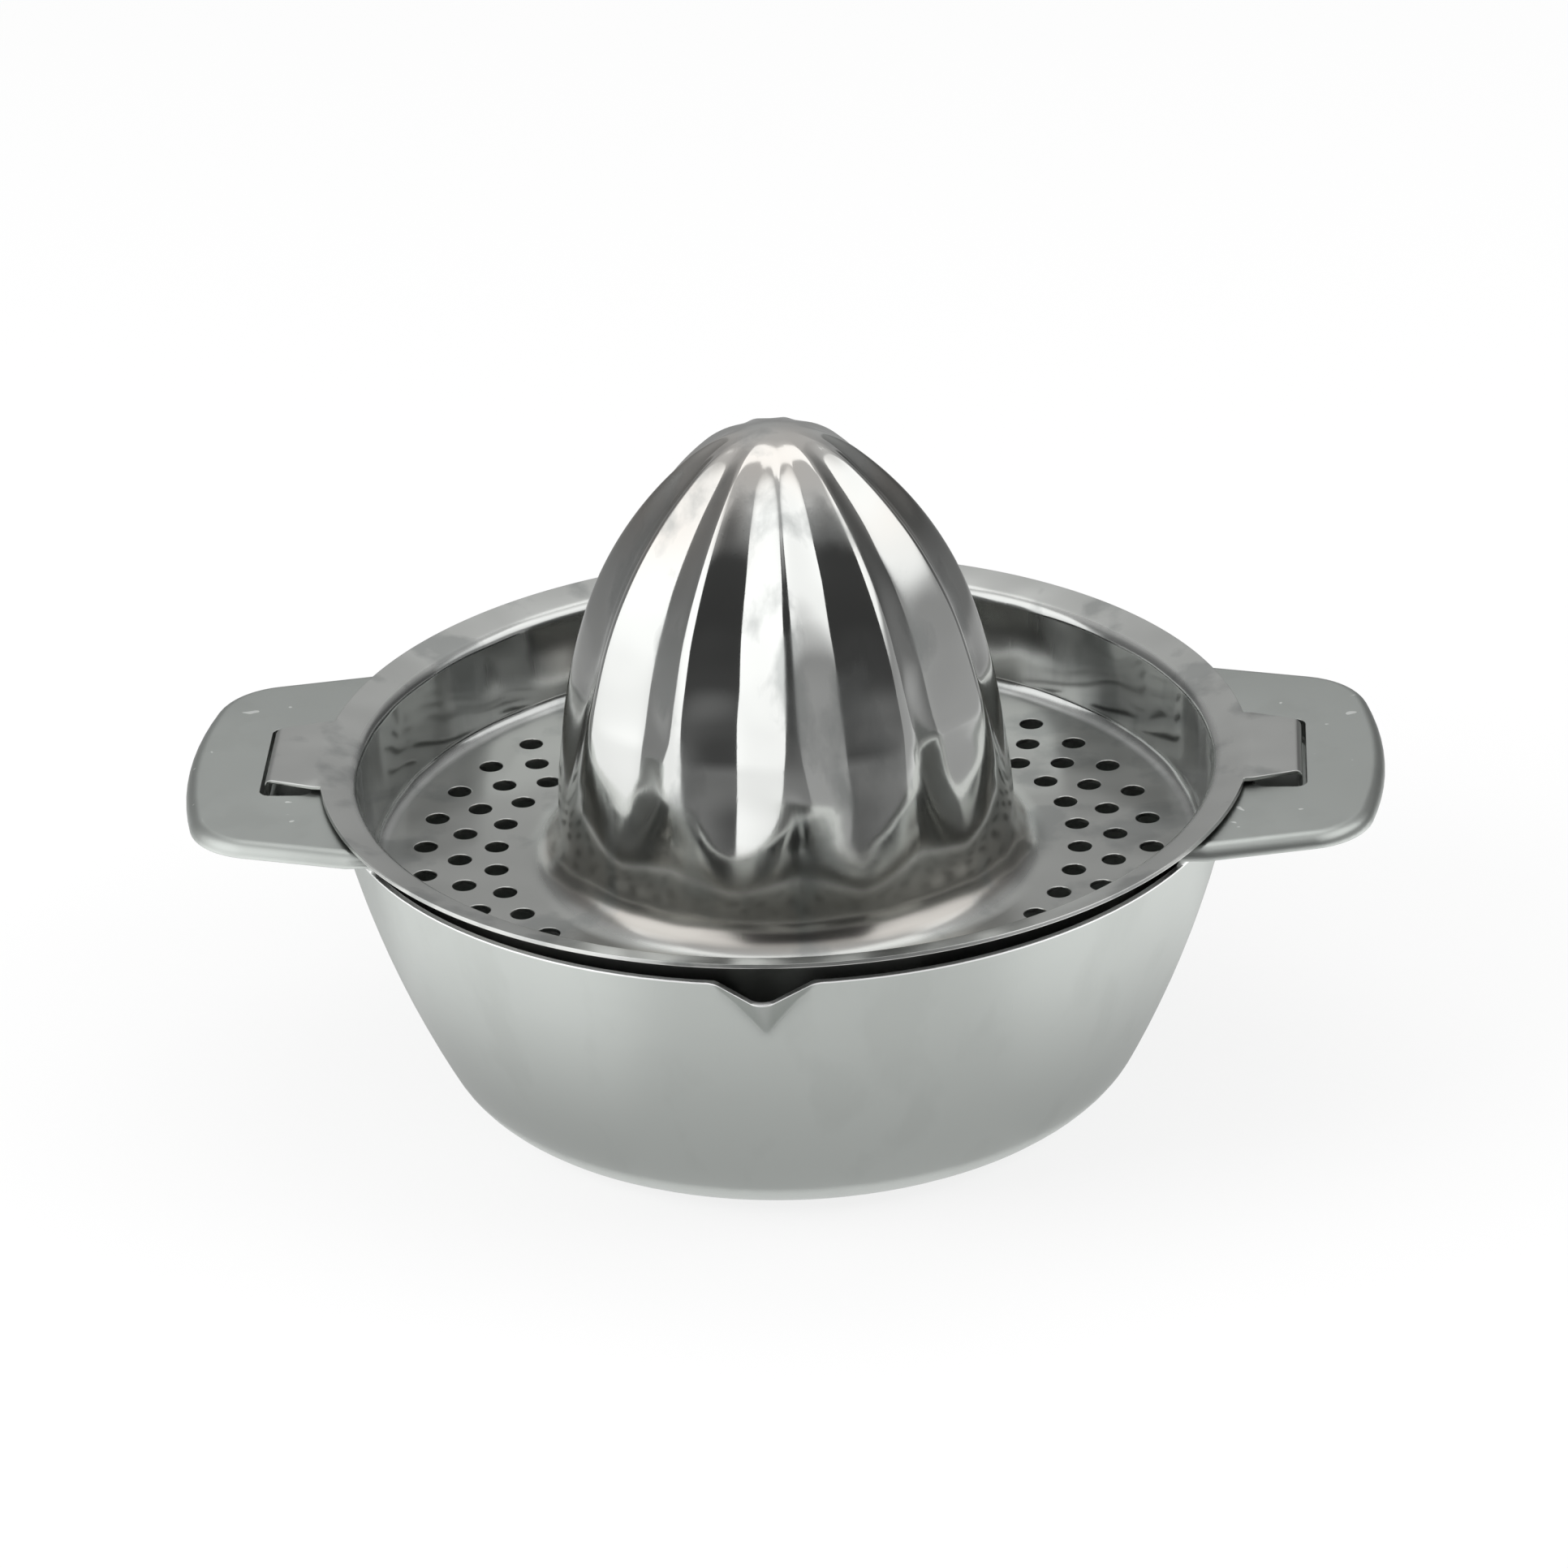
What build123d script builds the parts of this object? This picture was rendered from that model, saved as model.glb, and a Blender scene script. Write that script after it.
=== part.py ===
from build123d import *
from math import acos, cos, degrees, pi, radians, sin, sqrt, tan
import os

os.makedirs("parts", exist_ok=True)

# Hand citrus juicer in two pressed stainless steel pieces: a juice bowl with two
# wing handles, and a strainer with a fluted reamer that drops into it.
# Millimetres, +Z up. Z = 0 is the flat underside of the bowl, X runs through the
# handles and the pouring lip points to -Y.

# ---- driving dimensions: juice bowl ----
bowl_sheet = 0.8            # gauge of the bowl blank
base_radius = 41.4          # flat underside
corner_radius = 10.0        # bend between base and wall
wall_arc_radius = 154.0     # gentle bulge of the wall
corner_sweep = 63.2         # how far the corner bend turns up from the table
overall_length = 170.0      # over both handle tips

# ---- driving dimensions: pouring lip ----
lip_reach = 7.6             # rim to the corner of the V, before its nose is rounded
lip_half_width = 7.4
lip_drop = 9.6              # height of the crease below the rim
lip_nose_radius = 2.2
lip_side_radius = 3.5       # soft turn from the rim into the sides of the V
lip_setback = 1.2           # inner lip face behind the outer one, along Y

# ---- driving dimensions: wing handles ----
handle_top = 47.3
rim_step = 2.7              # rim of the bowl below the handle tops
handle_leaves = 60.0        # X where the sides start to taper
handle_root_half = 29.7     # half width there
handle_tip_half = 24.7      # half width at the outer corners
handle_corner_radius = 11.0
handle_bow = 3.9            # bulge of the outer end
handle_edge_roll = 2.0      # turned-down edge all round
handle_edge_depth = 2.1     # lower end of that edge below the handle tops
root_bend = 3.0             # bend from bowl wall into the handle plate
recess_width = 7.3          # blind recess that takes the turned-down end of an ear
recess_corner = 1.6
ear_play = 0.6              # clearance outside the end of an ear in its recess
ear_side_play = 2.7         # clearance beside it
ear_depth_play = 1.9        # clearance below it

# ---- driving dimensions: strainer and reamer ----
insert_sheet = 0.6          # gauge of the strainer blank
flange_radius = 65.9
flange_width = 5.2          # edge of the flange to where it would meet the wall without its bend
flange_clearance = 0.7      # ears and flange edge above the handle tops
pan_depth = 15.5            # edge of the flange to the upper face of the perforated floor
flange_slope = 15.0         # dish of the flange
wall_bend = 2.0
wall_lean = 1.7             # the wall comes in by this much on its way down
hole_diameter = 3.4
hole_rings = 3
holes_per_ring = 36
hole_margin = 7.1           # outer ring of holes to the foot of the wall
ring_spacing = 5.1
hole_turn = -1.0            # the punched pattern sits one degree off the ears

reamer_radius = 32.4
reamer_foot_fillet = 5.5
skirt_height = 8.0          # floor to the start of the dome
reamer_height = 65.3        # above the perforated floor
side_radius = 93.0          # the dome bulges in three tangent arcs, this is the lowest
side_sweep = 18.0
shoulder_sweep = 31.0
flute_count = 11
flute_turn = -100.5         # direction of the flute next to the pouring lip
flute_radius_ratio = 0.55   # radius of a flute over its distance from the axis
flute_depth_ratio = 0.93    # depth over the one that would let neighbours meet in a point
flute_start_ratio = 0.16    # along the dome's arc, where the full flute begins
flute_fade_ratio = 0.80     # where it starts to get shallower
flute_tip_ratio = 0.95      # where its tool ends, clear of the cap
flute_lift = 0.8            # clearance of the tool's end over the cap
foot_scoop_radius = 30.0
foot_scoop_depth = 1.8
foot_scoop_rise = 9.5       # centre of the scoop above the dome's start

ear_root_half = 10.6
ear_tip_half = 8.1
ear_length = 7.4            # flange edge to the outer face of the turned-down end
ear_bend = 1.1
ear_drop = 3.0              # height of the turned-down end

join_overlap = 2.0          # how far pieces of one blank run into each other here
ear_bite = 0.3              # how far an ear is let into the edge of the flange

# ---- derived sizes ----
rim_height = handle_top - rim_step
handle_edge_height = handle_top - handle_edge_depth
flange_edge_height = handle_top + flange_clearance + insert_sheet
floor_height = flange_edge_height - pan_depth
flange_inner = flange_radius - flange_width
wall_foot_radius = flange_inner - wall_lean
outer_ring_radius = wall_foot_radius - hole_margin
reamer_top = floor_height + reamer_height
ear_reach = flange_radius + ear_length
recess_outer = ear_reach + ear_play
recess_middle = recess_outer - recess_width / 2
recess_half_length = ear_tip_half + ear_side_play
recess_depth = handle_top - (flange_edge_height - ear_drop) + ear_depth_play
dome_base = floor_height + skirt_height
dome_foot = floor_height + reamer_foot_fillet
dome_rise = reamer_height - skirt_height
handle_end = overall_length / 2
handle_shoulder = handle_end - handle_bow
wing_hollow = handle_top - bowl_sheet
flange_inner_height = flange_edge_height - flange_width * tan(radians(flange_slope))
scoop_centre = reamer_radius + foot_scoop_radius - foot_scoop_depth
ear_seat = flange_radius - join_overlap
hole_pitch = 360 / holes_per_ring

# Slope of the wall where it turns into the handle plate, from the arc lengths
# that have to add up to the height of the plate.
corner_cos = cos(radians(corner_sweep))
plate_climb = corner_radius * (1 - corner_cos) + wall_arc_radius * corner_cos + root_bend - handle_top
root_slope = degrees(acos(plate_climb / (wall_arc_radius + root_bend - bowl_sheet)))

# Shoulder and nose arcs of the dome: the nose is centred on the axis and ends at
# the top, which gives two equations for the two radii.
side_cos = cos(radians(side_sweep))
side_sin = sin(radians(side_sweep))
nose_cos = cos(radians(side_sweep + shoulder_sweep))
nose_sin = sin(radians(side_sweep + shoulder_sweep))
across_left = reamer_radius - side_radius * (1 - side_cos)
climb_left = dome_rise - side_radius * side_sin
arc_balance = (side_cos - nose_cos) * (1 - nose_sin) - nose_cos * (nose_sin - side_sin)
shoulder_radius = (across_left * (1 - nose_sin) - climb_left * nose_cos) / arc_balance
nose_radius = (climb_left * (side_cos - nose_cos) - across_left * (nose_sin - side_sin)) / arc_balance

# Centre of the wall's bulge, and the radius of the wall at the rim and at the
# lower end of the lip's crease.
bulge_x = base_radius + (corner_radius - wall_arc_radius) * sin(radians(corner_sweep))
bulge_z = corner_radius + (wall_arc_radius - corner_radius) * corner_cos
rim_radius = bulge_x + sqrt(wall_arc_radius**2 - (bulge_z - rim_height) ** 2)
crease_height = rim_height - lip_drop
crease_radius = bulge_x + sqrt(wall_arc_radius**2 - (bulge_z - crease_height) ** 2)

# =====================================================================
# JUICE BOWL: one deep-drawn blank. Each skin is a half section turned
# about Z: base, corner bend, slightly bulged wall and the bend that
# carries it out into the handle plates. The inner skin lies one gauge
# inside the outer one.
# =====================================================================
with BuildPart() as bowl_core:
    with BuildSketch(Plane.XZ):
        with BuildLine():
            base = Line((0, 0), (base_radius, 0))
            corner = JernArc(base @ 1, (1, 0), corner_radius, corner_sweep)
            wall = JernArc(corner @ 1, corner % 1, wall_arc_radius, root_slope - corner_sweep)
            root = JernArc(wall @ 1, wall % 1, root_bend - bowl_sheet, -root_slope)
            Polyline(root @ 1, (0, (root @ 1).Y), base @ 0)
        make_face()
    revolve(axis=Axis.Z)

with BuildPart() as bowl_air:
    with BuildSketch(Plane.XZ):
        with BuildLine():
            base = Line((0, bowl_sheet), (base_radius, bowl_sheet))
            corner = JernArc(base @ 1, (1, 0), corner_radius - bowl_sheet, corner_sweep)
            wall = JernArc(corner @ 1, corner % 1, wall_arc_radius - bowl_sheet, root_slope - corner_sweep)
            root = JernArc(wall @ 1, wall % 1, root_bend, -root_slope)
            Polyline(root @ 1, (0, (root @ 1).Y), base @ 0)
        make_face()
    revolve(axis=Axis.Z)

# Wing handles: flat plates left and right whose edges are rolled down all round.
with BuildSketch() as wing_outline:
    with BuildLine():
        far = Polyline(
            (base_radius, handle_root_half),
            (handle_leaves, handle_root_half),
            (handle_shoulder, handle_tip_half),
        )
        ThreePointArc(far @ 1, (handle_end, 0), (handle_shoulder, -handle_tip_half))
        near = Polyline(
            (handle_shoulder, -handle_tip_half),
            (handle_leaves, -handle_root_half),
            (base_radius, -handle_root_half),
        )
        Line(near @ 1, far @ 0)
    make_face()
    fillet(vertices().group_by(Axis.X)[-1], radius=handle_corner_radius)

with BuildPart() as wing_block:
    with BuildSketch(Plane.XY.offset(rim_height)):
        add(wing_outline.sketch)
    extrude(amount=handle_top - rim_height)
    fillet(edges().group_by(Axis.Z)[-1].sort_by(Axis.X)[1:], handle_edge_roll)
    mirror(about=Plane.YZ)

with BuildPart() as wing_void:
    with BuildSketch(Plane.XY.offset(rim_height)):
        offset(wing_outline.sketch, amount=-bowl_sheet)
    extrude(amount=wing_hollow - rim_height)
    fillet(edges().group_by(Axis.Z)[-1].sort_by(Axis.X)[1:], handle_edge_roll - bowl_sheet)
    with BuildSketch(Plane.XY.offset(rim_height)):
        add(wing_outline.sketch)
    extrude(amount=handle_edge_height - rim_height)
    mirror(about=Plane.YZ)
    add(bowl_core.part, mode=Mode.SUBTRACT)

# Pouring lip: a small V pressed out of the rim with soft turns at both sides, its
# crease running down the wall.
with BuildPart() as lip:
    with BuildSketch(Plane.XY.offset(rim_height)) as lip_mouth:
        Circle(rim_radius)
        with BuildLine():
            Polyline(
                (-lip_half_width, -rim_radius + bowl_sheet),
                (0, -rim_radius - lip_reach),
                (lip_half_width, -rim_radius + bowl_sheet),
                close=True,
            )
        make_face()
        fillet(vertices().sort_by(Axis.Y)[1:3], lip_side_radius)
        fillet(vertices().sort_by(Axis.Y)[0], lip_nose_radius)
        with Locations((0, -rim_radius - lip_reach + bowl_sheet)):
            Rectangle(4 * lip_half_width, 2 * lip_reach, mode=Mode.INTERSECT)
    loft([lip_mouth.sketch.face(), Vertex(0, -crease_radius + bowl_sheet / 2, crease_height)])

# Recesses for the strainer's ears: outside of the pressing and its hollow.
recess_forms = []
for wall in (bowl_sheet, 0):
    with BuildPart() as recess_form:
        with BuildSketch(Plane.XY.offset(handle_top)):
            with Locations((recess_middle, 0), (-recess_middle, 0)):
                RectangleRounded(recess_width + 2 * wall, 2 * (recess_half_length + wall), recess_corner + wall)
        extrude(amount=-recess_depth - wall)
    recess_forms.append(recess_form.part)

with BuildPart() as juice_bowl:
    add(bowl_core.part)
    split(bisect_by=Plane.XY.offset(rim_height), keep=Keep.BOTTOM)
    add(lip.part)
    add(wing_block.part)
    add(wing_void.part, mode=Mode.SUBTRACT)
    add(recess_forms[0])
    add(bowl_air.part, mode=Mode.SUBTRACT)
    add(recess_forms[1], mode=Mode.SUBTRACT)
    with Locations((0, lip_setback, 0)):
        add(lip.part, mode=Mode.SUBTRACT)
juice_bowl.part.label = "juice_bowl"

# =====================================================================
# STRAINER AND REAMER: one thinner blank. Floor, wall and dished flange
# are a strip turned about Z; the dome above is hollow and fluted.
# =====================================================================
# Ears: two tabs from the flange that lie over the handles, taper outwards and
# turn down into the recesses.
with BuildPart() as ears:
    with BuildSketch(Plane.XZ):
        with BuildLine():
            FilletPolyline(
                (ear_seat, flange_edge_height),
                (ear_reach, flange_edge_height),
                (ear_reach, flange_edge_height - ear_drop),
                radius=ear_bend,
            )
            offset(amount=insert_sheet, side=Side.RIGHT)
        make_face()
    extrude(amount=ear_root_half, both=True)
    with BuildSketch(Plane.XY.offset(floor_height)):
        with BuildLine():
            Polyline(
                (ear_seat, ear_root_half),
                (flange_radius, ear_root_half),
                (ear_reach, ear_tip_half),
                (ear_reach, -ear_tip_half),
                (flange_radius, -ear_root_half),
                (ear_seat, -ear_root_half),
                close=True,
            )
        make_face()
        Circle(flange_radius - ear_bite, mode=Mode.SUBTRACT)
    extrude(amount=reamer_top, mode=Mode.INTERSECT)
    mirror(about=Plane.YZ)

# Pan: foot bend of the reamer, perforated floor, wall and dished flange, a
# strip one gauge thick turned about Z.
with BuildPart() as strainer_pan:
    with BuildSketch(Plane.XZ):
        with BuildLine() as pan_skin:
            foot = JernArc((reamer_radius, dome_foot), (0, -1), reamer_foot_fillet, 90)
            FilletPolyline(
                foot @ 1,
                (wall_foot_radius, floor_height),
                (flange_inner, flange_inner_height),
                (flange_radius, flange_edge_height),
                radius=wall_bend,
            )
            offset(amount=insert_sheet, side=Side.RIGHT)
        make_face()
    revolve(axis=Axis.Z)
    add(ears.part)
    # drain holes in staggered rings
    with BuildSketch(Plane.XY.offset(floor_height)):
        for ring in range(hole_rings):
            with PolarLocations(
                outer_ring_radius - ring * ring_spacing,
                holes_per_ring,
                start_angle=hole_turn + ring * hole_pitch / 2,
            ):
                Circle(hole_diameter / 2)
    extrude(amount=-2 * insert_sheet, mode=Mode.SUBTRACT)

# Meridian of the dome: three tangent arcs from the skirt up to the top.
with BuildLine(Plane.XZ) as meridian:
    side = JernArc((reamer_radius, dome_base), (0, 1), side_radius, side_sweep)
    shoulder = JernArc(side @ 1, side % 1, shoulder_radius, shoulder_sweep)
    nose = JernArc(shoulder @ 1, shoulder % 1, nose_radius, 90 - side_sweep - shoulder_sweep)
dome_line = meridian.wire()

# Flute tools, outer and inner: a bar bent along the dome that gets thinner as it
# climbs, with a ball end where the flute stops above the skirt and a wide shallow
# scoop that eases the ball's edge into the skirt.
full_share = flute_fade_ratio - flute_start_ratio
flute_stations = [flute_start_ratio + full_share * step / 3 for step in range(4)] + [flute_tip_ratio]
flute_tools = []
for gauge in (0, insert_sheet):
    with BuildPart() as flute_tool:
        for station in flute_stations:
            skin = dome_line.position_at(station)
            along = dome_line.tangent_at(station)
            outward = Vector(along.Z, 0, -along.X)
            bar = flute_radius_ratio * skin.X
            half_pitch = pi * skin.X / flute_count
            depth = flute_depth_ratio * half_pitch**2 / 2 * (1 / bar + along.Z / skin.X)
            if station == flute_tip_ratio:
                depth = -flute_lift
            with BuildSketch(Plane(skin + outward * (bar - depth), (0, 1, 0), along)) as section:
                Circle(bar + gauge)
            if station == flute_start_ratio:
                ball = section.workplanes[0].origin
                ball_radius = bar + gauge
        loft()
        with Locations(ball):
            Sphere(ball_radius)
        with Locations((scoop_centre, 0, dome_base + foot_scoop_rise)):
            Sphere(foot_scoop_radius + gauge)
    flute_tools.append(flute_tool.part)

# Dome skins: the meridian on a straight skirt, turned about Z and fluted all round.
dome_skins = []
for gauge, tool in zip((0, insert_sheet), flute_tools):
    with BuildPart() as dome:
        with BuildSketch(Plane.XZ):
            with BuildLine():
                skirt = Line((reamer_radius - gauge, dome_foot), (reamer_radius - gauge, dome_base))
                side = JernArc(skirt @ 1, (0, 1), side_radius - gauge, side_sweep)
                shoulder = JernArc(side @ 1, side % 1, shoulder_radius - gauge, shoulder_sweep)
                nose = JernArc(
                    shoulder @ 1,
                    shoulder % 1,
                    nose_radius - gauge,
                    90 - side_sweep - shoulder_sweep,
                )
                Polyline(nose @ 1, (0, dome_foot), skirt @ 0)
            make_face()
        revolve(axis=Axis.Z)
        with PolarLocations(0, flute_count, start_angle=flute_turn):
            add(tool, mode=Mode.SUBTRACT)
    dome_skins.append(dome.part)

with BuildPart() as strainer_reamer:
    add(dome_skins[0])
    add(dome_skins[1], mode=Mode.SUBTRACT)
    add(strainer_pan.part)
strainer_reamer.part.label = "strainer_reamer"

export_step(juice_bowl.part, "parts/juice_bowl.step")
export_step(strainer_reamer.part, "parts/strainer_reamer.step")
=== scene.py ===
from math import acos, atan2, copysign, cos, hypot, pi, radians, sin, tan

import bmesh
import bpy
import numpy as np
from mathutils import Euler, Matrix, Vector


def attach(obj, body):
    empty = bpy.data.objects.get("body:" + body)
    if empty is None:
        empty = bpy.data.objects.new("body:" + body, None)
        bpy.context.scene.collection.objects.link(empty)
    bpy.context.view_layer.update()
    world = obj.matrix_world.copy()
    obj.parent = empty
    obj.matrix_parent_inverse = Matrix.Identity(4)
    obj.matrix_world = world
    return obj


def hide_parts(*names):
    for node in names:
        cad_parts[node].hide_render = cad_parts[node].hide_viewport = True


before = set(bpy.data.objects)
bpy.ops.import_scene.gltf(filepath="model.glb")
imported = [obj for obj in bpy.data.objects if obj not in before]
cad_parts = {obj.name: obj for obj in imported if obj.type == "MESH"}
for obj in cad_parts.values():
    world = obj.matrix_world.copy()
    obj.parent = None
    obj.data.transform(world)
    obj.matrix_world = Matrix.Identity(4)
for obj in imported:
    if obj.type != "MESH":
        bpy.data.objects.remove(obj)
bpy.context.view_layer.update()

scene = bpy.context.scene
scene.view_settings.view_transform = "Standard"

# =====================================================================
# Camera: looks down on the juicer from just right of the pouring lip,
# from a good metre away, with a long lens.
# =====================================================================
camera_azimuth = radians(3.48)
camera_elevation = radians(26.338)
camera_roll = radians(-2.082)
camera_distance = 1.1616
camera_lens = 187.66
camera_sensor = 36.0
camera_nearest = 0.01
look_at = Vector((-0.0002, 0.0, 0.04305))

camera = bpy.data.objects.new("camera", bpy.data.cameras.new("camera"))
camera.data.lens = camera_lens
camera.data.sensor_width = camera_sensor
camera.data.clip_start = camera_nearest
towards_camera = Vector((
    sin(camera_azimuth) * cos(camera_elevation),
    -cos(camera_azimuth) * cos(camera_elevation),
    sin(camera_elevation),
))
camera.matrix_world = (
    Matrix.Translation(look_at + towards_camera * camera_distance)
    @ Euler((pi / 2 - camera_elevation, 0, camera_azimuth)).to_matrix().to_4x4()
    @ Matrix.Rotation(camera_roll, 4, "Z")
)
scene.collection.objects.link(camera)
scene.camera = camera

# =====================================================================
# Table: a plain white sheet that runs on to the horizon. It keeps a soft
# part of the juicer's shadow, and the steel sees it as white too.
# =====================================================================
table_size = 6.0
table_color = (0.93, 0.93, 0.93, 1.0)
table_glow = 0.77


def as_object(name, mesh):
    """The finished mesh as an object of the scene."""
    data = bpy.data.meshes.new(name)
    mesh.to_mesh(data)
    mesh.free()
    thing = bpy.data.objects.new(name, data)
    scene.collection.objects.link(thing)
    return thing


def combine(tree, operation, first, second):
    """One sum, product, smallest or largest of two values."""
    node = tree.nodes.new("ShaderNodeMath")
    node.operation = operation
    tree.links.new(first, node.inputs[0])
    if isinstance(second, float):
        node.inputs[1].default_value = second
    else:
        tree.links.new(second, node.inputs[1])
    return node.outputs[0]


table_mesh = bmesh.new()
bmesh.ops.create_grid(table_mesh, x_segments=1, y_segments=1, size=table_size / 2)
table = as_object("table", table_mesh)

table_paint = bpy.data.materials.new("white table")
table_paint.use_nodes = True
tree = table_paint.node_tree
tree.nodes.clear()
table_out = tree.nodes.new("ShaderNodeOutputMaterial")
matt = tree.nodes.new("ShaderNodeBsdfDiffuse")
matt.inputs["Color"].default_value = table_color
glow = tree.nodes.new("ShaderNodeEmission")
glow.inputs["Color"].default_value = (1, 1, 1, 1)
glow.inputs["Strength"].default_value = 1.0
# eyes and reflections see most of it as a glow, and the shadow falls on the matt rest
rays = tree.nodes.new("ShaderNodeLightPath").outputs
seen = combine(tree, "ADD", rays["Is Camera Ray"], rays["Is Glossy Ray"])
seen = combine(tree, "ADD", seen, rays["Is Transmission Ray"])
seen = combine(tree, "MINIMUM", seen, 1.0)
table_mix = tree.nodes.new("ShaderNodeMixShader")
tree.links.new(combine(tree, "MULTIPLY", seen, table_glow), table_mix.inputs[0])
tree.links.new(matt.outputs[0], table_mix.inputs[1])
tree.links.new(glow.outputs[0], table_mix.inputs[2])
tree.links.new(table_mix.outputs[0], table_out.inputs[0])
table.data.materials.append(table_paint)

# =====================================================================
# Studio: a pale grey room, a soft box above and one at each side, and
# curved screens that show only as reflections in the steel: a black one
# in front, bright ones at both sides and grey ones behind.
# =====================================================================
room_strength = 0.66
lamps_aim = Vector((0, 0, 0.05))
soft_boxes = (
    # name, centre, width, height, power, mirrored in the steel
    ("left soft box", Vector((-0.66, -0.22, 0.40)), 0.60, 0.50, 3.6, False),
    ("right soft box", Vector((0.70, -0.02, 0.40)), 0.50, 0.50, 2.4, False),
    ("top soft box", Vector((0.0, 0.25, 0.90)), 0.80, 0.45, 1.00, True),
)
# each screen lies on the table from its first radius out and then stands up
floor_radii = (0.05, 0.10, 0.16)
screen_radius = 0.42
wall_heights = (0.14, 0.25, 0.45)
screen_lift = 0.001
screen_steps = 24
screens = (
    # name, from and to in degrees to the right of the camera, height of the top, then how
    # bright it is at the floor radii, at the bend, at the wall heights and at the top
    ("black screen", -30, 42, 0.66, (0.58, 0.86, 0.80, 0.25, 0.065, 0.05, 0.055, 0.45)),
    ("left white screen", -99, -30, 0.85, (0.55, 1.20, 1.60, 1.20, 1.50, 1.60, 1.50, 0.80)),
    ("right pale screen", 42, 108, 0.85, (0.55, 1.20, 1.50, 0.45, 0.36, 1.35, 1.50, 0.90)),
    ("left grey corner", -150, -99, 0.70, (0.40, 0.55, 0.55, 0.28, 0.20, 0.24, 0.50, 0.60)),
    ("right grey corner", 108, 150, 0.70, (0.40, 0.55, 0.55, 0.20, 0.10, 0.22, 0.50, 0.60)),
    ("back wall", 150, 210, 0.60, (0.35, 0.45, 0.45, 0.35, 0.35, 0.45, 0.60, 0.60)),
)


def coordinates(tree, place):
    """The X, Y and Z of a place."""
    node = tree.nodes.new("ShaderNodeSeparateXYZ")
    tree.links.new(place, node.inputs[0])
    return node.outputs


def out_from_axis(tree, place):
    """Distance of a place from the axis of the reamer."""
    flat = tree.nodes.new("ShaderNodeVectorMath")
    flat.operation = "MULTIPLY"
    flat.inputs[1].default_value = (1, 1, 0)
    tree.links.new(place, flat.inputs[0])
    length = tree.nodes.new("ShaderNodeVectorMath")
    length.operation = "LENGTH"
    tree.links.new(flat.outputs[0], length.inputs[0])
    return length.outputs["Value"]


def ramp(tree, value, low, high, to_low=0.0, to_high=1.0):
    """A value remapped from one range to another and kept inside it."""
    node = tree.nodes.new("ShaderNodeMapRange")
    node.inputs["From Min"].default_value = low
    node.inputs["From Max"].default_value = high
    node.inputs["To Min"].default_value = to_low
    node.inputs["To Max"].default_value = to_high
    tree.links.new(value, node.inputs["Value"])
    return node.outputs[0]


room = bpy.data.worlds.new("pale room")
scene.world = room
room.use_nodes = True
room_light = room.node_tree.nodes["Background"]
room_light.inputs["Color"].default_value = (1, 1, 1, 1)
room_light.inputs["Strength"].default_value = room_strength

for name, centre, width, height, power, mirrored in soft_boxes:
    lamp = bpy.data.lights.new(name, "AREA")
    lamp.shape = "RECTANGLE"
    lamp.size = width
    lamp.size_y = height
    lamp.energy = power
    soft_box = bpy.data.objects.new(name, lamp)
    soft_box.visible_glossy = mirrored
    aim = (centre - lamps_aim).to_track_quat("Z", "Y")
    soft_box.matrix_world = Matrix.Translation(centre) @ aim.to_matrix().to_4x4()
    scene.collection.objects.link(soft_box)

for name, start, end, height, brightness in screens:
    screen_mesh = bmesh.new()
    foot = screen_mesh.verts.new((floor_radii[0], 0, screen_lift))
    bend = screen_mesh.verts.new((screen_radius, 0, screen_lift))
    top = screen_mesh.verts.new((screen_radius, 0, height))
    screen_mesh.edges.new((foot, bend))
    screen_mesh.edges.new((bend, top))
    first = Matrix.Rotation(camera_azimuth - pi / 2 + radians(start), 3, "Z")
    bmesh.ops.rotate(screen_mesh, verts=screen_mesh.verts, cent=(0, 0, 0), matrix=first)
    bmesh.ops.spin(
        screen_mesh,
        geom=list(screen_mesh.verts) + list(screen_mesh.edges),
        cent=(0, 0, 0),
        axis=(0, 0, 1),
        angle=radians(end - start),
        steps=screen_steps,
    )
    screen = as_object(name, screen_mesh)
    screen.visible_camera = False
    screen.visible_diffuse = False
    screen.visible_shadow = False

    screen_cloth = bpy.data.materials.new(name)
    screen_cloth.use_nodes = True
    tree = screen_cloth.node_tree
    tree.nodes.clear()
    place = tree.nodes.new("ShaderNodeTexCoord").outputs["Object"]
    out_and_up = combine(tree, "ADD", out_from_axis(tree, place), coordinates(tree, place)["Z"])
    whole = screen_radius + height
    graded = tree.nodes.new("ShaderNodeValToRGB")
    graded.color_ramp.interpolation = "EASE"
    stops = [*floor_radii, screen_radius, *(screen_radius + up for up in wall_heights), whole]
    graded.color_ramp.elements[0].position = stops[0] / whole
    for stop in stops[1:-1]:
        graded.color_ramp.elements.new(stop / whole)
    for element, level in zip(graded.color_ramp.elements, brightness):
        element.color = (level, level, level, 1)
    tree.links.new(ramp(tree, out_and_up, 0.0, whole), graded.inputs["Fac"])
    shine = tree.nodes.new("ShaderNodeEmission")
    tree.links.new(graded.outputs["Color"], shine.inputs["Color"])
    screen_out = tree.nodes.new("ShaderNodeOutputMaterial")
    tree.links.new(shine.outputs[0], screen_out.inputs[0])
    screen.data.materials.append(screen_cloth)

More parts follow.
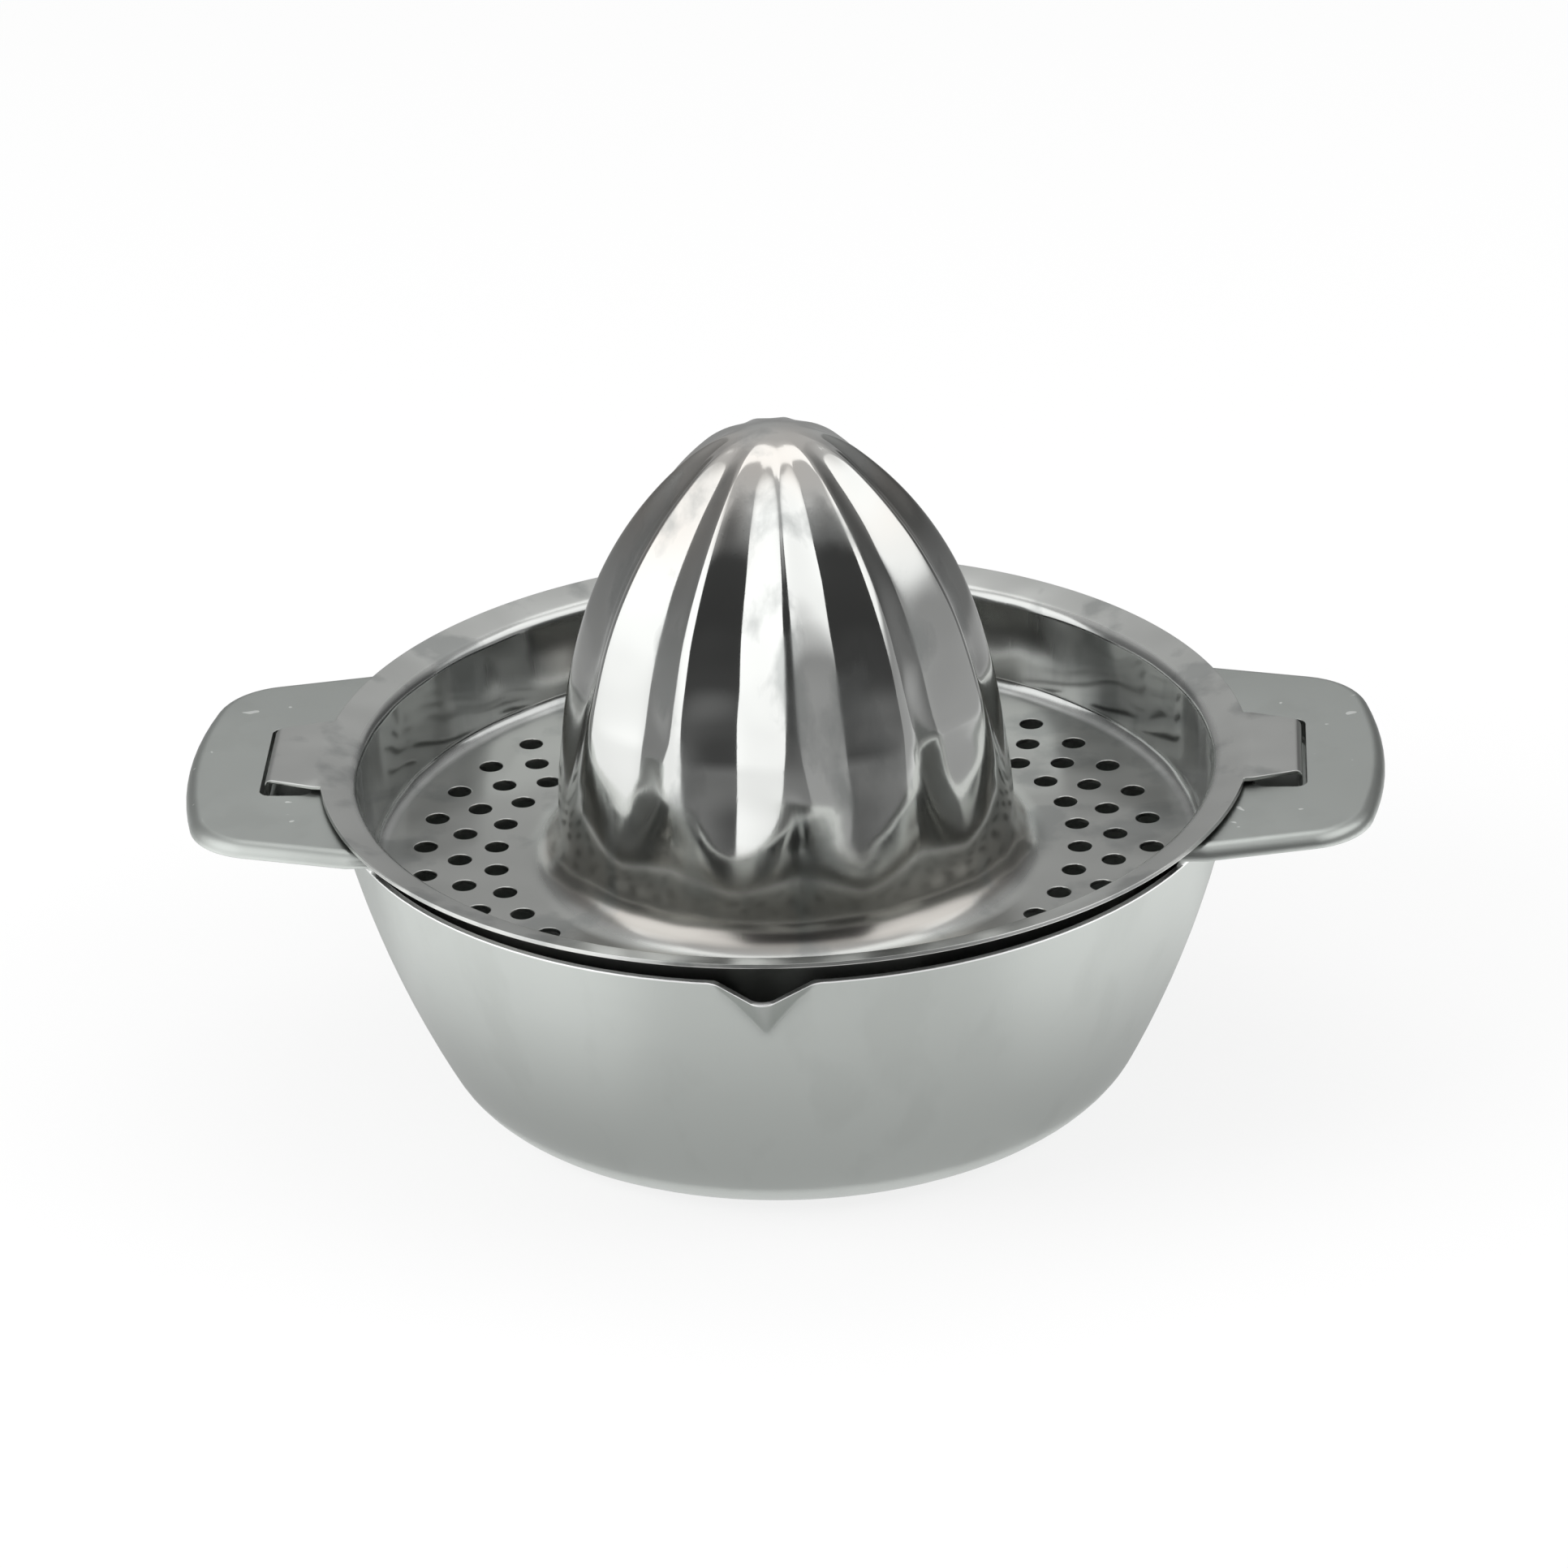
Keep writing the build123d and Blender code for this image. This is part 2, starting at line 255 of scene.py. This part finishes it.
# =====================================================================
# Marks of use that both pieces show: dried water that has run down,
# wiped smudges, the fine scratches of a scouring pad and bright specks.
# =====================================================================
mark_kinds = (
    # name, stretch of the pattern, scale, detail, where a mark begins and where it is full
    ("Water marks", (1.0, 1.0, 0.42), 95.0, 8.0, 0.53, 0.62),
    ("Smudges", (1.0, 1.0, 0.7), 34.0, 2.5, 0.50, 0.75),
    ("Scratches", (1.0, 1.0, 0.06), 1500.0, 2.0, 0.60, 0.74),
    ("Specks", (1.0, 1.0, 1.0), 520.0, 0.0, 0.815, 0.835),
)


def noise(tree, place, scale, detail):
    """Cloudy noise from 0 to 1."""
    node = tree.nodes.new("ShaderNodeTexNoise")
    node.inputs["Scale"].default_value = scale
    node.inputs["Detail"].default_value = detail
    tree.links.new(place, node.inputs["Vector"])
    return node.outputs["Fac"]


use_marks = bpy.data.node_groups.new("marks of use", "ShaderNodeTree")
use_marks.interface.new_socket("Vector", in_out="INPUT", socket_type="NodeSocketVector")
for kind in mark_kinds:
    use_marks.interface.new_socket(kind[0], in_out="OUTPUT", socket_type="NodeSocketFloat")
group_in = use_marks.nodes.new("NodeGroupInput")
group_out = use_marks.nodes.new("NodeGroupOutput")
for name, stretch, scale, detail, begins, full in mark_kinds:
    stretched = use_marks.nodes.new("ShaderNodeVectorMath")
    stretched.operation = "MULTIPLY"
    stretched.inputs[1].default_value = stretch
    use_marks.links.new(group_in.outputs["Vector"], stretched.inputs[0])
    pattern = noise(use_marks, stretched.outputs[0], scale, detail)
    use_marks.links.new(ramp(use_marks, pattern, begins, full), group_out.inputs[name])

# =====================================================================
# Juice bowl: one deep-drawn stainless blank with its two wing handles,
# left satin from the press and from use. Its cut rim is painted bright as a highlight.
# =====================================================================
mm = 0.001
# from here on sizes are in millimetres
merged_within = 0.002
cut_angle = radians(55.0)
filed_edge = 0.18
smooth_angle = radians(35.0)
# where an effect begins and where it is full: lip_from_axis is along Y, the others are heights
handle_tops = (46.6, 46.9)
rim_from_below = (44.25, 44.40)
rim_from_above = (44.95, 44.75)
lip_from_axis = (-54.0, -56.0)
lip_from_rim = (43.6, 42.0)
lip_fold = 2.4
crisp_fold = 0.2
fold_samples = 12

satin_dark = (0.495, 0.52, 0.498, 1)
satin_pale = (0.545, 0.57, 0.55, 1)
satin_roughness = (0.33, 0.41)
cloud_pattern = (28.0, 3.0)
dried_water = (0.40, 0.42, 0.40, 1)
dried_water_share = 0.16
wiped_roughness = 0.44
bright_specks = (0.86, 0.88, 0.86, 1)
rim_highlight_color = (0.92, 0.93, 0.92, 1)
grain_around = 0.5
grit_pattern = (2200.0, 2.0)
grit_strength = 0.06
grit_depth = 0.1


def is_sharp(edge, angle):
    """True where the two faces beside an edge turn by more than that angle."""
    return len(edge.link_faces) == 2 and edge.calc_face_angle() > angle


def bare_steel(name):
    """A steel material, its node tree, its shader's inputs, object coordinates and marks of use."""
    material = bpy.data.materials.new(name)
    material.use_nodes = True
    tree = material.node_tree
    shader = tree.nodes["Principled BSDF"]
    shader.inputs["Metallic"].default_value = 1.0
    place = tree.nodes.new("ShaderNodeTexCoord").outputs["Object"]
    marks = tree.nodes.new("ShaderNodeGroup")
    marks.node_tree = use_marks
    tree.links.new(place, marks.inputs["Vector"])
    return material, tree, shader.inputs, place, marks.outputs


def zone(tree, where, begins, full):
    """0 where a zone begins and 1 where it is full, both in millimetres."""
    return ramp(tree, where, begins * mm, full * mm)


def blend(tree, kind, share, first, second):
    """A mix of two colours or two values."""
    node = tree.nodes.new("ShaderNodeMix")
    node.data_type = kind
    is_color = kind == "RGBA"
    # the node has A and B once for values and once for colours
    sockets = node.inputs[6:8] if is_color else node.inputs[2:4]
    tree.links.new(share, node.inputs[0])
    for socket, value in zip(sockets, (first, second)):
        if isinstance(value, (float, tuple)):
            socket.default_value = value
        else:
            tree.links.new(value, socket)
    return node.outputs[2 if is_color else 0]


def bump(tree, height, strength, depth, normal=None):
    """A normal bent by a pattern of heights, so many millimetres deep."""
    node = tree.nodes.new("ShaderNodeBump")
    node.inputs["Strength"].default_value = strength
    node.inputs["Distance"].default_value = depth * mm
    tree.links.new(height, node.inputs["Height"])
    if normal is not None:
        tree.links.new(normal, node.inputs["Normal"])
    return node.outputs[0]


# the pressing as the frame has it, with its cut edges broken by a file
bowl_mesh = bmesh.new()
bowl_mesh.from_mesh(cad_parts["juice_bowl"].data)
bmesh.ops.remove_doubles(bowl_mesh, verts=bowl_mesh.verts, dist=merged_within * mm)
bmesh.ops.bevel(
    bowl_mesh,
    geom=[edge for edge in bowl_mesh.edges if is_sharp(edge, cut_angle)],
    offset=filed_edge * mm,
    offset_type="OFFSET",
    segments=2,
    profile=0.5,
    affect="EDGES",
    clamp_overlap=True,
    material=-1,
)
for face in bowl_mesh.faces:
    face.smooth = True
for edge in bowl_mesh.edges:
    edge.smooth = not is_sharp(edge, smooth_angle)
bowl = as_object("bowl_with_handles", bowl_mesh)
even = bowl.modifiers.new("even shading", "WEIGHTED_NORMAL")
even.keep_sharp = True

satin, tree, satin_steel, place, marks = bare_steel("satin stainless steel")
where = coordinates(tree, place)
cloud = noise(tree, place, *cloud_pattern)
tone = blend(tree, "RGBA", cloud, satin_dark, satin_pale)
dried = combine(tree, "MULTIPLY", marks["Water marks"], dried_water_share)
tone = blend(tree, "RGBA", dried, tone, dried_water)
specks = combine(tree, "MULTIPLY", marks["Specks"], zone(tree, where["Z"], *handle_tops))
tone = blend(tree, "RGBA", specks, tone, bright_specks)
# a band at the top of the cut rim is painted pale: a painted highlight
above_wall = zone(tree, where["Z"], *rim_from_below)
at_rim = combine(tree, "MULTIPLY", above_wall, zone(tree, where["Z"], *rim_from_above))
tone = blend(tree, "RGBA", at_rim, tone, rim_highlight_color)
tree.links.new(tone, satin_steel["Base Color"])
dull = ramp(tree, cloud, 0.0, 1.0, *satin_roughness)
dull = blend(tree, "FLOAT", marks["Smudges"], dull, wiped_roughness)
tree.links.new(dull, satin_steel["Roughness"])

# the press draws the lip with soft folds, while the cut rim stays crisp
at_lip = zone(tree, where["Y"], *lip_from_axis)
below_rim = zone(tree, where["Z"], *lip_from_rim)
soft_lip = combine(tree, "MULTIPLY", at_lip, below_rim)
folds = tree.nodes.new("ShaderNodeBevel")
folds.samples = fold_samples
fold_radius = ramp(tree, soft_lip, 0.0, 1.0, crisp_fold * mm, (crisp_fold + lip_fold) * mm)
tree.links.new(fold_radius, folds.inputs["Radius"])
grit = combine(tree, "ADD", noise(tree, place, *grit_pattern), marks["Scratches"])
grain = bump(tree, grit, grit_strength, grit_depth, folds.outputs[0])
tree.links.new(grain, satin_steel["Normal"])

# the drawing die leaves its grain around the bowl
satin_steel["Anisotropic"].default_value = grain_around
lathe = tree.nodes.new("ShaderNodeTangent")
lathe.direction_type = "RADIAL"
lathe.axis = "Z"
tree.links.new(lathe.outputs[0], satin_steel["Tangent"])
bowl.data.materials.append(satin)

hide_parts("juice_bowl")
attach(bowl, "bowl")

# =====================================================================
# Strainer with its reamer: one thinner stainless blank, polished. The
# hollow reamer is pressed up out of it with eleven flutes, the floor is
# punched with three rings of holes, and two ears hold it in the handles.
# =====================================================================
gauge = 0.6
# what the frame's own strainer tells: its top, how far its ears reach and how low its floor is
solid_corners = [corner.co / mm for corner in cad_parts["strainer_reamer"].data.vertices]
dome_top = max(corner.z for corner in solid_corners)
ear_reach = max(corner.x for corner in solid_corners)
floor_height = min(corner.z for corner in solid_corners) + gauge

# flange and wall
flange_radius = 65.9
flange_width = 5.2
flange_slope = radians(15.0)
flange_row = 1.6
flange_bend_steps = 7
pan_depth = 15.5
wall_lean = 1.7
wall_bend = 2.0
wall_bend_steps = 8
flange_edge_height = floor_height + pan_depth
flange_inner = flange_radius - flange_width
wall_foot_radius = flange_inner - wall_lean

# holes of the floor, each ring half a pitch further round than the one outside it
hole_radius = 1.7
hole_sides = 24
hole_rings = 3
holes_per_ring = 36
hole_margin = 7.1
ring_spacing = 5.1
hole_turn = radians(-1.0)

# reamer, from its foot bend and short upright skirt to the dome
reamer_radius = 32.4
foot_fillet = 5.5
foot_rows = 9
skirt_height = 8.0
skirt_rows = 2
skirt_row = 0.85
dome_base = floor_height + skirt_height
dome_rows = 80
side_radius = 93.0
side_sweep = radians(18.0)
shoulder_sweep = radians(31.0)

# the flutes get shallower from flute_fade to flute_tip, which are shares of the way up the
# dome. At the foot their valleys run out at one slope to flute_foot, and foot_arch higher at
# the ridges, with a bend of flute_run_out in height
flute_count = 11
flute_turn = radians(-100.5)
flute_depth = 0.107
flute_fade = 0.80
flute_tip = 0.965
flute_foot = 39.6
foot_arch = 3.0
foot_arch_power = 1.3
flute_run_out = 6.5
run_out_slope = tan(radians(16.0))
dome_bulge_passed = 1.9
# a flute's valley is partly a straight V and partly hollow. Its sides would pass the smooth
# dome by ridge_margin, which leaves a ridge between two flutes. Valley and ridge are rounded,
# and the ridge gets crisper where the flutes are shallow or close to the axis
valley_straight = 0.42
valley_softness = 0.12
ridge_margin = 0.40
ridge_softness = 0.40
ridge_formed_depth = 0.7
ridge_formed_radius = 24.0
columns_per_flute = 30
column_crowding = 0.72
blend_power = 4
never_zero = 1e-9
least_softness = 0.0001

# ears: half widths, and the distances from the axis at which they are shaped
ear_root_half = 10.6
ear_tip_half = 8.1
ear_neck = 66.3
ear_flat = 69.2
ear_bend = 1.1
ear_bend_steps = 5
ear_drop = 3.0
ear_search = 0.7

# how the corners and edges of the sheet are found again
welded_within = 0.01
level_within = 0.01
axis_within = 0.02
perforated_from, perforated_to = 39.0, 55.0
perforated_top = 33.5
rim_from = 65.0
punched_angle = radians(60.0)
punched_edge = 0.12
crease_angle = radians(21.0)


def along_dome(share):
    """Radius, height and climb angle of the dome at a share of its length from foot to top."""
    travel = share * sum(arc_radius * (end - start) for arc_radius, _, start, end in dome_arcs)
    for arc_radius, centre, start, end in dome_arcs:
        climb = start + travel / arc_radius
        if climb <= end:
            break
        travel -= arc_radius * (end - start)
    return centre[0] + arc_radius * cos(climb), centre[1] + arc_radius * sin(climb), climb


def bend_between(before, corner, after, radius, steps):
    """Points of a bend of that radius in place of a sharp corner of a profile."""
    to_before = (Vector(before) - Vector(corner)).normalized()
    to_after = (Vector(after) - Vector(corner)).normalized()
    half = acos(to_before.dot(to_after)) / 2
    centre = Vector(corner) + (to_before + to_after).normalized() * (radius / sin(half))
    first = Vector(corner) + to_before * (radius / tan(half)) - centre
    last = Vector(corner) + to_after * (radius / tan(half)) - centre
    sweep = first.angle(last)
    turns = [step / steps * sweep for step in range(steps + 1)]
    return [tuple(centre + (first * sin(sweep - turn) + last * sin(turn)) / sin(sweep)) for turn in turns]


def soft_step(value):
    """From 0 to 1 with a soft start and a soft end."""
    value = min(1.0, max(0.0, value))
    return value * value * (3 - 2 * value)


def off_valley(across):
    """Distance from the middle of a flute, with the point of the V rounded off."""
    return np.sqrt(across**2 + valley_softness**2) - valley_softness


def flute_side(across):
    """How much of the flute's depth its side has risen by, at that distance from its middle."""
    return valley_straight * off_valley(across) + (1 - valley_straight) * across**2


def dents_of_row(radius, height, share_up):
    """How deep a row lies under the smooth dome, from the middle of a flute to the ridge."""
    full = flute_depth * radius * soft_step((flute_tip - share_up) / (flute_tip - flute_fade))
    foot = flute_foot + foot_arch * np.minimum(1.0, off_valley(columns)) ** foot_arch_power
    above = np.maximum(0.0, height - foot)
    bent = np.minimum(above, flute_run_out)
    run_out = run_out_slope * (bent**2 / (2 * flute_run_out) + above - bent)
    passed = min(max(0.0, reamer_radius - radius), dome_bulge_passed)
    run_out = np.maximum(0.0, run_out - passed)
    # the smaller of the two depths, blended where they are alike
    blended = (full**blend_power + run_out**blend_power + never_zero) ** (1 / blend_power)
    depth = full * run_out / blended
    # the larger of this flute, the next one and no flute, rounded where they meet
    formed = np.minimum(1.0, depth / ridge_formed_depth) * min(1.0, radius / ridge_formed_radius)
    softness = ridge_softness * formed + least_softness
    rise = depth + ridge_margin * formed
    this_flute = (depth - rise * flute_side(columns)) / softness
    next_flute = (depth - rise * flute_side(2 - columns)) / softness
    return softness * np.logaddexp(np.logaddexp(0.0, this_flute), next_flute) * (depth > 0)


def place_of(radius, around, height):
    """A place at that radius and height in millimetres and that direction, in metres."""
    return Vector((radius * cos(around), radius * sin(around), height)) * mm


def at_ear(corner, side):
    """True on the edge of the flange where the ear of that side is drawn out."""
    on_edge = hypot(corner.co.x, corner.co.y) > rim_from * mm
    return on_edge and corner.co.x * side > 0 and abs(corner.co.y) < (ear_root_half + ear_search) * mm


def middle_of(edge):
    """Radius and height of the middle of an edge, in millimetres."""
    middle = (edge.verts[0].co + edge.verts[1].co) / 2
    return hypot(middle.x, middle.y) / mm, middle.z / mm


# the dome bulges in three arcs that meet smoothly, the top one centred on the axis. What the
# lowest one leaves to go, across and up, is shared out between the other two
nose_start = side_sweep + shoulder_sweep
side_cos, side_sin = cos(side_sweep), sin(side_sweep)
nose_cos, nose_sin = cos(nose_start), sin(nose_start)
across = reamer_radius - side_radius * (1 - side_cos)
up = dome_top - dome_base - side_radius * side_sin
balance = (side_cos - nose_cos) * (1 - nose_sin) - nose_cos * (nose_sin - side_sin)
shoulder_radius = (across * (1 - nose_sin) - up * nose_cos) / balance
nose_radius = (up * (side_cos - nose_cos) - across * (nose_sin - side_sin)) / balance
shoulder_centre = (across - shoulder_radius * side_cos, dome_top - up - shoulder_radius * side_sin)
dome_arcs = (
    # radius, centre, from and to angle
    (side_radius, (reamer_radius - side_radius, dome_base), 0.0, side_sweep),
    (shoulder_radius, shoulder_centre, side_sweep, nose_start),
    (nose_radius, (0.0, dome_top - nose_radius), nose_start, pi / 2),
)

# upper skin as a profile of radius and height, first from the flange in to the floor
flange_edge = (flange_radius, flange_edge_height)
flange_foot = (flange_inner, flange_edge_height - flange_width * tan(flange_slope))
wall_foot = (wall_foot_radius, floor_height)
floor_inner = (reamer_radius + foot_fillet, floor_height)
rim_part = [flange_edge, (flange_radius - flange_row, flange_edge_height - flange_row * tan(flange_slope))]
rim_part += bend_between(flange_edge, flange_foot, wall_foot, wall_bend, flange_bend_steps)
rim_part += bend_between(flange_foot, wall_foot, floor_inner, wall_bend, wall_bend_steps)
# then from the floor up the foot bend, the short skirt and the dome
foot_turns = [row / foot_rows * pi / 2 for row in range(foot_rows + 1)]
dome_part = [
    (floor_inner[0] - foot_fillet * sin(turn), floor_height + foot_fillet * (1 - cos(turn)))
    for turn in foot_turns
]
skirt_start = floor_height + foot_fillet
dome_part += [(reamer_radius, skirt_start + skirt_row * (row + 1)) for row in range(skirt_rows)]
climbs = [0.0] * len(dome_part)
first_dome_row = len(dome_part)
for row in range(dome_rows + 1):
    radius, height, climb = along_dome(row / dome_rows)
    dome_part.append((radius, height))
    climbs.append(climb)

# columns from the middle of a flute, at 0, to the ridge beside it, at 1, closest together at
# both, and the dents of each row that the flutes can reach
half_pitch = pi / flute_count
half_columns = columns_per_flute // 2
columns = np.arange(half_columns + 1) / half_columns
columns = columns - column_crowding / (2 * pi) * np.sin(2 * pi * columns)
dents = {
    row: dents_of_row(*dome_part[row], max(0.0, (row - first_dome_row) / dome_rows))
    for row in range(foot_rows, len(dome_part) - 1)
}

insert_mesh = bmesh.new()
row_of = insert_mesh.verts.layers.int.new("row")
for profile in (rim_part, dome_part):
    wire = []
    for row, (radius, height) in enumerate(profile):
        corner = insert_mesh.verts.new(place_of(radius, flute_turn, height))
        corner[row_of] = row if profile is dome_part else -1
        wire.append(corner)
    runs = [insert_mesh.edges.new(pair) for pair in zip(wire, wire[1:])]
    bmesh.ops.spin(
        insert_mesh,
        geom=wire + runs,
        cent=(0, 0, 0),
        axis=(0, 0, 1),
        angle=2 * pi,
        steps=flute_count * columns_per_flute,
        use_merge=True,
    )
bmesh.ops.remove_doubles(insert_mesh, verts=insert_mesh.verts, dist=welded_within * mm)

# crowd the columns and press the flutes in, square to the dome
for corner in insert_mesh.verts:
    radius = hypot(corner.co.x, corner.co.y) / mm
    height = corner.co.z / mm
    if radius < axis_within:
        continue
    turned = (atan2(corner.co.y, corner.co.x) - flute_turn) / (2 * half_pitch)
    flute = round(turned)
    off = 2 * (turned - flute)
    column = round(abs(off) * half_columns)
    around = flute_turn + (2 * flute + copysign(columns[column], off)) * half_pitch
    row = corner[row_of]
    if row in dents:
        dent = dents[row][column]
        radius -= dent * cos(climbs[row])
        height -= dent * sin(climbs[row])
    corner.co = place_of(radius, around, height)

# perforated floor between the two parts
punched = []
for ring in range(hole_rings):
    ring_radius = wall_foot_radius - hole_margin - ring * ring_spacing
    for hole in range(holes_per_ring):
        around = hole_turn + (hole + ring / 2) * 2 * pi / holes_per_ring
        middle = Matrix.Translation(place_of(ring_radius, around, floor_height))
        circle = bmesh.ops.create_circle(
            insert_mesh, segments=hole_sides, radius=hole_radius * mm, matrix=middle
        )
        punched += list({edge for corner in circle["verts"] for edge in corner.link_edges})
floor_edges = [
    edge
    for edge in insert_mesh.edges
    if edge.is_boundary
    and all(abs(corner.co.z / mm - floor_height) < level_within for corner in edge.verts)
]
bmesh.ops.triangle_fill(insert_mesh, edges=punched + floor_edges, use_beauty=True)

# ears, drawn out of the edge of the flange and turned down
for side in (1, -1):
    edges = [
        edge
        for edge in insert_mesh.edges
        if edge.is_boundary and all(at_ear(corner, side) for corner in edge.verts)
    ]
    root = {corner for edge in edges for corner in edge.verts}
    for end in (min(root, key=lambda corner: corner.co.y), max(root, key=lambda corner: corner.co.y)):
        end.co.x = side * (flange_radius**2 - ear_root_half**2) ** 0.5 * mm
        end.co.y = copysign(ear_root_half * mm, end.co.y)
    ear_corner = (ear_reach, flange_edge_height)
    ear_end = (ear_reach, flange_edge_height - ear_drop)
    stations = [(ear_neck, flange_edge_height), (ear_flat, flange_edge_height)]
    stations += bend_between(stations[-1], ear_corner, ear_end, ear_bend, ear_bend_steps)
    stations += [ear_end]
    half_before = ear_root_half
    for reach, height in stations:
        drawn = bmesh.ops.extrude_edge_only(insert_mesh, edges=edges)["geom"]
        edges = [part for part in drawn if isinstance(part, bmesh.types.BMEdge)]
        along = (reach - flange_radius) / (ear_reach - flange_radius)
        half = ear_root_half + (ear_tip_half - ear_root_half) * along
        for corner in {corner for edge in edges for corner in edge.verts}:
            corner.co = (side * reach * mm, corner.co.y * half / half_before, height * mm)
        half_before = half

# an open sheet has no outside of its own, so its faces are turned up before it gets its gauge
bmesh.ops.recalc_face_normals(insert_mesh, faces=insert_mesh.faces)
if sum(face.normal.z * face.calc_area() for face in insert_mesh.faces) < 0:
    bmesh.ops.reverse_faces(insert_mesh, faces=insert_mesh.faces)
bmesh.ops.solidify(insert_mesh, geom=list(insert_mesh.faces), thickness=gauge * mm)
for face in insert_mesh.faces:
    face.smooth = True

# break the upper edges of the holes and all edges of the flange and the ears
cut_edges = []
for edge in insert_mesh.edges:
    radius, height = middle_of(edge)
    at_hole = perforated_from < radius < perforated_to and abs(height - floor_height) < level_within
    if (at_hole or radius > rim_from) and is_sharp(edge, punched_angle):
        cut_edges.append(edge)
bmesh.ops.bevel(
    insert_mesh,
    geom=cut_edges,
    offset=punched_edge * mm,
    offset_type="OFFSET",
    segments=2,
    profile=0.5,
    affect="EDGES",
    material=-1,
)
for edge in insert_mesh.edges:
    radius, height = middle_of(edge)
    at_hole = perforated_from < radius < perforated_to and height < perforated_top
    if (at_hole or radius > rim_from) and is_sharp(edge, crease_angle):
        edge.smooth = False
insert = as_object("strainer_and_reamer", insert_mesh)

# polished dome and wall, a dull skirt painted darker and warmer, floor and flange left satin by the press.
# Each zone says where it begins and where it is full, by height or by radius
floor_zone = (34.2, 33.4)
flange_zone = (60.6, 61.8)
wall_zone_inside = (56.0, 58.0)
wall_zone_outside = (61.2, 60.6)
skirt_zone = (36.0, 34.0)
skirt_zone_up = (49.0, 40.0)
fingers_zone = (78.0, 88.0)
polished_color = (0.655, 0.665, 0.65, 1)
skirt_color = (0.45, 0.433, 0.405, 1)
floor_color = (0.52, 0.53, 0.512, 1)
flange_color = (0.60, 0.61, 0.592, 1)
wall_color = (0.50, 0.51, 0.50, 1)
finger_color = (0.62, 0.49, 0.40, 1)
water_color = (0.33, 0.345, 0.34, 1)
stain_share = 0.55
dome_roughness = (0.10, 0.18)
water_roughness = 0.27
wall_roughness = 0.12
skirt_roughness = 0.23
flat_roughness = 0.30
scratch_strength = 0.04
scratch_depth = 0.05
swell_pattern = (70.0, 1.0)
swell_strength = 1.0
swell_depth = 0.7

polished, tree, mirror_steel, place, marks = bare_steel("polished stainless steel")
height = coordinates(tree, place)["Z"]
reach = out_from_axis(tree, place)
on_floor = zone(tree, height, *floor_zone)
on_flange = zone(tree, reach, *flange_zone)
flat_parts = combine(tree, "MAXIMUM", on_floor, on_flange)
on_skirt = combine(tree, "MULTIPLY", zone(tree, reach, *skirt_zone), zone(tree, height, *skirt_zone_up))
outside_wall = zone(tree, reach, *wall_zone_outside)
on_wall = combine(tree, "MULTIPLY", zone(tree, reach, *wall_zone_inside), outside_wall)
fingers = combine(tree, "MULTIPLY", marks["Smudges"], zone(tree, height, *fingers_zone))
fingers = combine(tree, "MULTIPLY", fingers, stain_share)
water = combine(tree, "MULTIPLY", marks["Water marks"], stain_share)

steel = polished_color
for part, color in (
    (on_skirt, skirt_color),
    (on_floor, floor_color),
    (on_flange, flange_color),
    (on_wall, wall_color),
    (fingers, finger_color),
    (water, water_color),
):
    steel = blend(tree, "RGBA", part, steel, color)
tree.links.new(steel, mirror_steel["Base Color"])

polish = ramp(tree, marks["Smudges"], 0.0, 1.0, *dome_roughness)
for part, roughness in (
    (marks["Water marks"], water_roughness),
    (on_wall, wall_roughness),
    (on_skirt, skirt_roughness),
    (flat_parts, flat_roughness),
):
    polish = blend(tree, "FLOAT", part, polish, roughness)
tree.links.new(polish, mirror_steel["Roughness"])

# the sheet is a little uneven from the press, which bends what it mirrors
scratched = bump(tree, marks["Scratches"], scratch_strength, scratch_depth)
uneven = bump(tree, noise(tree, place, *swell_pattern), swell_strength, swell_depth, scratched)
tree.links.new(uneven, mirror_steel["Normal"])
insert.data.materials.append(polished)

# the side that faces the bowl, and the hollow of the reamer, were never polished and are rougher; their
# dark colour is painted shade, which keeps the gap between strainer and bowl dark
underside_dark = (0.25, 0.255, 0.25, 1)
underside_pale = (0.34, 0.343, 0.33, 1)
underside_roughness = (0.45, 0.6)
hollow_radius = 33.5
behind_wall_from, behind_wall_to = 55.0, 65.5
faces_down, faces_in, faces_out = -0.3, -0.2, 0.5

underside, tree, dull_steel, place, marks = bare_steel("dull underside")
# dark base colour as painted shade, varied by the smudges
shade_and_smudges = blend(tree, "RGBA", marks["Smudges"], underside_dark, underside_pale)
tree.links.new(shade_and_smudges, dull_steel["Base Color"])
dull = ramp(tree, marks["Water marks"], 0.0, 1.0, *underside_roughness)
tree.links.new(dull, dull_steel["Roughness"])
insert.data.materials.append(underside)
for polygon in insert.data.polygons:
    radius = polygon.center.xy.length / mm
    outwards = polygon.normal.xy.dot(polygon.center.xy.normalized())
    in_hollow = radius < hollow_radius and outwards < faces_in
    behind_wall = behind_wall_from < radius < behind_wall_to and outwards > faces_out
    if polygon.normal.z < faces_down or in_hollow or behind_wall:
        polygon.material_index = 1

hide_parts("strainer_reamer")
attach(insert, "strainer")
